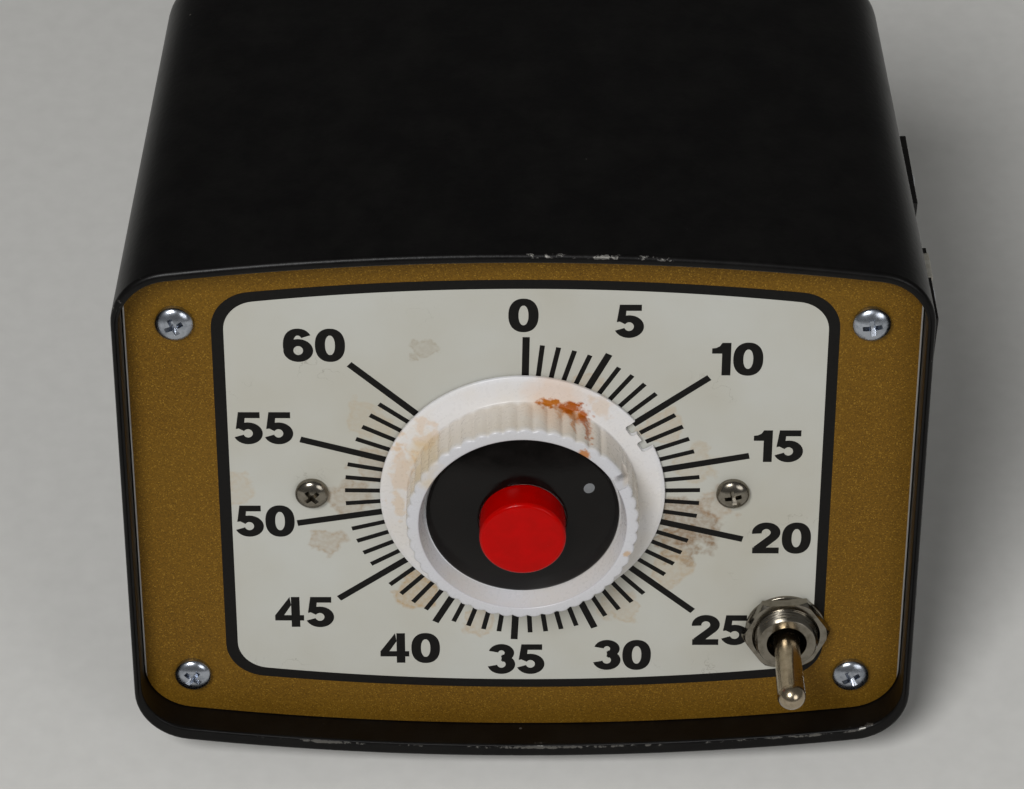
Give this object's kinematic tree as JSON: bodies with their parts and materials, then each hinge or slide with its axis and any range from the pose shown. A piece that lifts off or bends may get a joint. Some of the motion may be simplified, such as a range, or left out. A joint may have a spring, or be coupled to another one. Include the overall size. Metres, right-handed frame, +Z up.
{
  "type": "enlarger timer",
  "caption": "Darkroom enlarger timer with a leaning printed dial face, fluted timing knob with centre start button, toggle switch and side outlets in a cast metal case",
  "frame": {"origin": "centre of the footprint on the surface that the timer stands on", "axes": "+Z up, -Y towards the user in front of the dial, +X to the right as seen from the front"},
  "size_m": [0.1472, 0.1263, 0.1147],
  "materials": {
    "black_enamel": "satin black enamel, worn to bare metal along the rim",
    "printed_face": "grey-cream printed face with a gold-bronze border",
    "steel": "zinc plated",
    "black_rubber": "black rubber",
    "brass": "turned and stamped brass",
    "nickel": "nickel plated",
    "motor_tin": "tinned steel",
    "winding": "taped copper winding",
    "bakelite": "black moulded bakelite",
    "phenolic": "brown phenolic",
    "paper_tape": "paper tape",
    "white_plastic": "aged white plastic",
    "black_disc": "glossy black",
    "red_plastic": "glossy red",
    "magnet": "ferrite and steel"
  },
  "bodies": {
    "case": {"case_shell": "black_enamel", "face_plate": "printed_face", "panel_screws": "steel", "rubber_feet": "black_rubber", "foot_screws": "steel", "shaft_bushing": "brass", "bushing_nut": "brass", "movement_front_plate": "brass", "movement_rear_plate": "brass", "pillars": "brass", "pillar_screws": "steel", "movement_spacers": "steel", "movement_screws": "nickel", "spring_post": "steel", "motor_gearbox": "motor_tin", "motor_screws": "steel", "motor_can": "motor_tin", "motor_coil": "winding", "start_switch_body": "bakelite", "trip_switch_body": "bakelite", "switch_pins": "steel", "switch_tabs": "brass", "switch_screws": "steel", "start_switch_bracket": "steel", "toggle_bushing": "nickel", "toggle_body": "phenolic", "toggle_washer": "nickel", "toggle_nut": "nickel", "toggle_lugs": "brass", "front_outlet": "bakelite", "back_outlet": "bakelite", "outlet_contacts": "brass", "outlet_screws": "steel", "outlet_tape": "paper_tape", "cord_grommet": "black_rubber", "terminal_strip": "phenolic", "strip_terminals": "brass", "strip_screws": "brass"},
    "knob": {"timing_knob": "white_plastic", "knob_disc": "black_disc", "button_spring": "steel", "set_shaft": "steel", "set_arm": "brass"},
    "button": {"start_button": "red_plastic", "push_rod": "steel"},
    "timing": {"timing_arbor": "steel", "timing_wheel": "brass", "trip_dog": "brass", "reset_spring": "steel"},
    "idler": {"idler_arbor": "steel", "idler_pinion": "brass", "idler_wheel": "brass"},
    "motor_output": {"motor_pinion": "brass", "motor_shaft": "steel"},
    "rotor": {"motor_rotor": "magnet"},
    "start_lever": {"start_switch_lever": "steel"},
    "start_plunger": {"start_switch_plunger": "red_plastic"},
    "trip_lever": {"trip_switch_lever": "steel"},
    "trip_plunger": {"trip_switch_plunger": "red_plastic"},
    "toggle": {"toggle_lever": "nickel"}
  },
  "joints": [
    {"name": "knob_turn", "type": "hinge", "parent": "case", "child": "knob", "pos_m": [-0.001, -0.03376, 0.0594], "axis": [0, 0.9744, -0.225], "range_deg": [-61.2, 250.8]},
    {"name": "button_push", "type": "slide", "parent": "knob", "child": "button", "axis": [0, 0.9744, -0.225], "range_m": [0, 0.002], "stiffness_N_per_m": 300, "springref_m": -0.002},
    {"name": "timing_run", "type": "hinge", "parent": "case", "child": "timing", "pos_m": [-0.001, -0.01427, 0.0549], "axis": [0, 0.9744, -0.225], "range_deg": [0, 61.2], "stiffness_Nm_per_rad": 0.002, "springref_deg": -34.38},
    {"name": "idler_turn", "type": "hinge", "parent": "case", "child": "idler", "pos_m": [-0.02581, -0.01224, 0.0637], "axis": [0, 0.9744, -0.225], "range_deg": [-94.65, 0]},
    {"name": "motor_output_turn", "type": "hinge", "parent": "case", "child": "motor_output", "pos_m": [-0.0332, -0.00706, 0.04167], "axis": [0, 0.9744, -0.225], "range_deg": [0, 283.46]},
    {"name": "rotor_spin", "type": "hinge", "parent": "case", "child": "rotor", "pos_m": [-0.0332, 0.01242, 0.03717], "axis": [0, 0.9744, -0.225], "continuous": true},
    {"name": "start_lever_press", "type": "hinge", "parent": "case", "child": "start_lever", "pos_m": [-0.009, 0.00952, 0.04941], "axis": [0, 0.225, 0.9744], "range_deg": [0, 11.2]},
    {"name": "start_plunger_press", "type": "slide", "parent": "case", "child": "start_plunger", "axis": [0, 0.9744, -0.225], "range_m": [0, 0.0006]},
    {"name": "trip_lever_press", "type": "hinge", "parent": "case", "child": "trip_lever", "pos_m": [0.00646, -0.01198, 0.07949], "axis": [0, 0.9744, -0.225], "range_deg": [0, 10], "stiffness_Nm_per_rad": 0.0005, "springref_deg": -17.19},
    {"name": "trip_plunger_press", "type": "slide", "parent": "case", "child": "trip_plunger", "axis": [0, 0.225, 0.9744], "range_m": [0, 0.0006]},
    {"name": "toggle_throw", "type": "hinge", "parent": "case", "child": "toggle", "pos_m": [0.0482, -0.04078, 0.029], "axis": [1, 0, 0], "range_deg": [-11, 11]}
  ],
  "couplings": [
    {"joint": "idler_turn", "follows": "timing_run", "ratio": -1.5385},
    {"joint": "motor_output_turn", "follows": "timing_run", "ratio": 4.6154},
    {"joint": "start_lever_press", "follows": "button_push", "rad_per_m": 96},
    {"joint": "start_plunger_press", "follows": "button_push", "ratio": 0.25},
    {"joint": "trip_plunger_press", "follows": "trip_lever_press", "m_per_rad": 0.0026}
  ]
}
